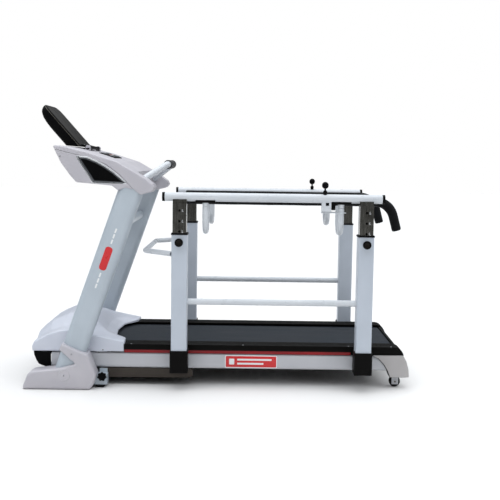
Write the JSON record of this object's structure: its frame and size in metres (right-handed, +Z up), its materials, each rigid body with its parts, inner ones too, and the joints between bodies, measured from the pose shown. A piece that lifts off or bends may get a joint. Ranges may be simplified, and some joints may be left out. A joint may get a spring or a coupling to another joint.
{
  "type": "rehabilitation treadmill",
  "caption": "Motorised walking treadmill with height-adjustable side handrails, padded swing-in inner bars, inclining deck and a tilting console display.",
  "frame": {"origin": "on the floor, in the middle of the overall box", "axes": "+X along the belt towards the step-on end, +Y across the belt, +Z up"},
  "size_m": [1.884, 0.981, 1.3766],
  "materials": {
    "white_paint": "satin powder coat",
    "rail_white": "smooth powder coat",
    "frame_dark": "dark powder coat",
    "bracket_black": "black powder coat",
    "shell_white": "satin moulded plastic",
    "plastic_black": "moulded plastic",
    "grille_black": "moulded grille",
    "display_black": "gloss plastic",
    "display_glass": "glossy cover",
    "stop_red": "moulded plastic",
    "stripe_red": "satin plastic strip",
    "chrome": "polished",
    "steel": "machined",
    "motor_grey": "painted",
    "control_grey": "anodised",
    "belt_rubber": "fine textured running belt",
    "drive_rubber": "ribbed",
    "foot_rubber": "moulded",
    "foam_black": "closed-cell foam",
    "board_wood": "waxed board",
    "step_black": "ribbed anti-slip",
    "cap_grey": "satin moulded plastic"
  },
  "bodies": {
    "base": {"base_frame": "white_paint", "base_covers": "shell_white", "mast_frame": "white_paint", "console_lower_shell": "shell_white", "console_upper_shell": "shell_white", "keypad_tray": "plastic_black", "speaker_grilles": "grille_black", "handlebar_tube": "rail_white", "handlebar_grip": "foam_black", "base_feet": "foot_rubber", "cover_screws": "steel", "actuator_housing": "control_grey"},
    "display": {"display_housing": "display_black", "display_screen": "display_glass"},
    "stop_button": {"stop_button": "stop_red"},
    "star_knob_left": {"star_knob_left": "plastic_black"},
    "star_knob_right": {"star_knob_right": "plastic_black"},
    "lift": {"lift_frame": "frame_dark"},
    "actuator_rod": {"actuator_rod": "steel"},
    "deck": {"deck_frame": "white_paint", "deck_board": "board_wood", "walking_belt": "belt_rubber", "step_rails": "step_black", "accent_strips": "stripe_red", "motor_hood": "shell_white", "front_bumper": "plastic_black", "drive_motor": "motor_grey", "motor_controller": "control_grey", "drive_belt": "drive_rubber", "rear_caps": "cap_grey", "outer_posts": "white_paint", "post_sockets": "bracket_black", "post_collars": "plastic_black", "side_bars": "rail_white", "brace_bar": "rail_white"},
    "front_roller": {"front_roller": "steel"},
    "rear_roller": {"rear_roller": "steel"},
    "motor_pulley": {"motor_pulley": "steel"},
    "rear_wheel_left": {"rear_wheel_left": "drive_rubber"},
    "rear_wheel_right": {"rear_wheel_right": "drive_rubber"},
    "height_pin_front_left": {"height_pin_front_left": "plastic_black"},
    "height_pin_rear_left": {"height_pin_rear_left": "plastic_black"},
    "rail_left": {"handrail_left": "rail_white", "inner_posts_left": "chrome", "rail_brackets_left": "plastic_black"},
    "lock_plunger_left": {"lock_plunger_left": "plastic_black"},
    "hanger_rear_left": {"hanger_rear_left": "rail_white"},
    "hanger_front_left": {"hanger_front_left": "rail_white"},
    "inner_bar_left": {"inner_bar_left": "steel", "foam_grip_left": "foam_black"},
    "height_pin_front_right": {"height_pin_front_right": "plastic_black"},
    "height_pin_rear_right": {"height_pin_rear_right": "plastic_black"},
    "rail_right": {"handrail_right": "rail_white", "inner_posts_right": "chrome", "rail_brackets_right": "plastic_black"},
    "lock_plunger_right": {"lock_plunger_right": "plastic_black"},
    "hanger_rear_right": {"hanger_rear_right": "rail_white"},
    "hanger_front_right": {"hanger_front_right": "rail_white"},
    "inner_bar_right": {"inner_bar_right": "steel", "foam_grip_right": "foam_black"}
  },
  "joints": [
    {"name": "display_tilt", "type": "hinge", "parent": "base", "child": "display", "pos_m": [-0.672, 0, 1.166], "axis": [0, 1, 0], "range_deg": [0, 30]},
    {"name": "stop_press", "type": "slide", "parent": "base", "child": "stop_button", "axis": [0, 0, -1], "range_m": [0, 0.004], "stiffness_N_per_m": 500},
    {"name": "lift_hinge", "type": "hinge", "parent": "base", "child": "lift", "pos_m": [-0.566, 0, 0.062], "axis": [0, -1, 0], "range_deg": [0, 14.5]},
    {"name": "ram_slide", "type": "slide", "parent": "base", "child": "actuator_rod", "axis": [0.9927, 0, 0.121], "range_m": [-0.0135, 0.0005]},
    {"name": "deck_hinge", "type": "hinge", "parent": "lift", "child": "deck", "pos_m": [-0.15, 0, 0.062], "axis": [0, 1, 0], "range_deg": [-0.1, 20.52]},
    {"name": "front_roller_spin", "type": "hinge", "parent": "deck", "child": "front_roller", "pos_m": [-0.59, 0, 0.1655], "axis": [0, 1, 0], "continuous": true},
    {"name": "rear_roller_spin", "type": "hinge", "parent": "deck", "child": "rear_roller", "pos_m": [0.86, 0, 0.1655], "axis": [0, 1, 0], "continuous": true},
    {"name": "motor_spin", "type": "hinge", "parent": "deck", "child": "motor_pulley", "pos_m": [-0.76, 0.2, 0.195], "axis": [0, 1, 0], "continuous": true},
    {"name": "star_knob_turn_left", "type": "hinge", "parent": "base", "child": "star_knob_left", "pos_m": [-0.564, -0.41, 0.057], "axis": [0, -1, 0], "continuous": true},
    {"name": "rear_wheel_spin_left", "type": "hinge", "parent": "deck", "child": "rear_wheel_left", "pos_m": [0.878, -0.3, 0.0275], "axis": [0, 1, 0], "continuous": true},
    {"name": "height_pin_front_left_slide", "type": "slide", "parent": "deck", "child": "height_pin_front_left", "axis": [0, -1, 0], "range_m": [-0.01, 0]},
    {"name": "height_pin_rear_left_slide", "type": "slide", "parent": "deck", "child": "height_pin_rear_left", "axis": [0, -1, 0], "range_m": [-0.01, 0]},
    {"name": "rail_height_left", "type": "slide", "parent": "deck", "child": "rail_left", "axis": [0, 0, 1], "range_m": [-0.1, 0.15]},
    {"name": "lock_plunger_left_slide", "type": "slide", "parent": "rail_left", "child": "lock_plunger_left", "axis": [0, 0, 1], "range_m": [-0.008, 0]},
    {"name": "swing_rear_left", "type": "hinge", "parent": "rail_left", "child": "hanger_rear_left", "pos_m": [0.579, -0.42, 0.88], "axis": [0, 0, 1], "range_deg": [0, 50]},
    {"name": "swing_front_left", "type": "hinge", "parent": "rail_left", "child": "hanger_front_left", "pos_m": [-0.068, -0.42, 0.88], "axis": [0, 0, 1], "range_deg": [-0.5, 50.5]},
    {"name": "inner_bar_turn_left", "type": "hinge", "parent": "hanger_rear_left", "child": "inner_bar_left", "pos_m": [0.579, -0.285, 0.88], "axis": [0, 0, 1], "range_deg": [-50.5, 0.5]},
    {"name": "star_knob_turn_right", "type": "hinge", "parent": "base", "child": "star_knob_right", "pos_m": [-0.564, 0.41, 0.057], "axis": [0, 1, 0], "continuous": true},
    {"name": "rear_wheel_spin_right", "type": "hinge", "parent": "deck", "child": "rear_wheel_right", "pos_m": [0.878, 0.3, 0.0275], "axis": [0, 1, 0], "continuous": true},
    {"name": "height_pin_front_right_slide", "type": "slide", "parent": "deck", "child": "height_pin_front_right", "axis": [0, 1, 0], "range_m": [-0.01, 0]},
    {"name": "height_pin_rear_right_slide", "type": "slide", "parent": "deck", "child": "height_pin_rear_right", "axis": [0, 1, 0], "range_m": [-0.01, 0]},
    {"name": "rail_height_right", "type": "slide", "parent": "deck", "child": "rail_right", "axis": [0, 0, 1], "range_m": [-0.1, 0.15]},
    {"name": "lock_plunger_right_slide", "type": "slide", "parent": "rail_right", "child": "lock_plunger_right", "axis": [0, 0, 1], "range_m": [-0.008, 0]},
    {"name": "swing_rear_right", "type": "hinge", "parent": "rail_right", "child": "hanger_rear_right", "pos_m": [0.579, 0.42, 0.88], "axis": [0, 0, -1], "range_deg": [0, 50]},
    {"name": "swing_front_right", "type": "hinge", "parent": "rail_right", "child": "hanger_front_right", "pos_m": [-0.068, 0.42, 0.88], "axis": [0, 0, -1], "range_deg": [-0.5, 50.5]},
    {"name": "inner_bar_turn_right", "type": "hinge", "parent": "hanger_rear_right", "child": "inner_bar_right", "pos_m": [0.579, 0.285, 0.88], "axis": [0, 0, -1], "range_deg": [-50.5, 0.5]}
  ],
  "couplings": [
    {"joint": "deck_hinge", "follows": "lift_hinge", "ratio": 1.4017},
    {"joint": "ram_slide", "follows": "lift_hinge", "m_per_rad": -0.04987},
    {"joint": "rear_roller_spin", "follows": "front_roller_spin", "ratio": 1},
    {"joint": "motor_spin", "follows": "front_roller_spin", "ratio": 2.2727},
    {"joint": "swing_front_left", "follows": "swing_rear_left", "ratio": 1},
    {"joint": "inner_bar_turn_left", "follows": "swing_rear_left", "ratio": -1},
    {"joint": "swing_front_right", "follows": "swing_rear_right", "ratio": 1},
    {"joint": "inner_bar_turn_right", "follows": "swing_rear_right", "ratio": -1}
  ]
}
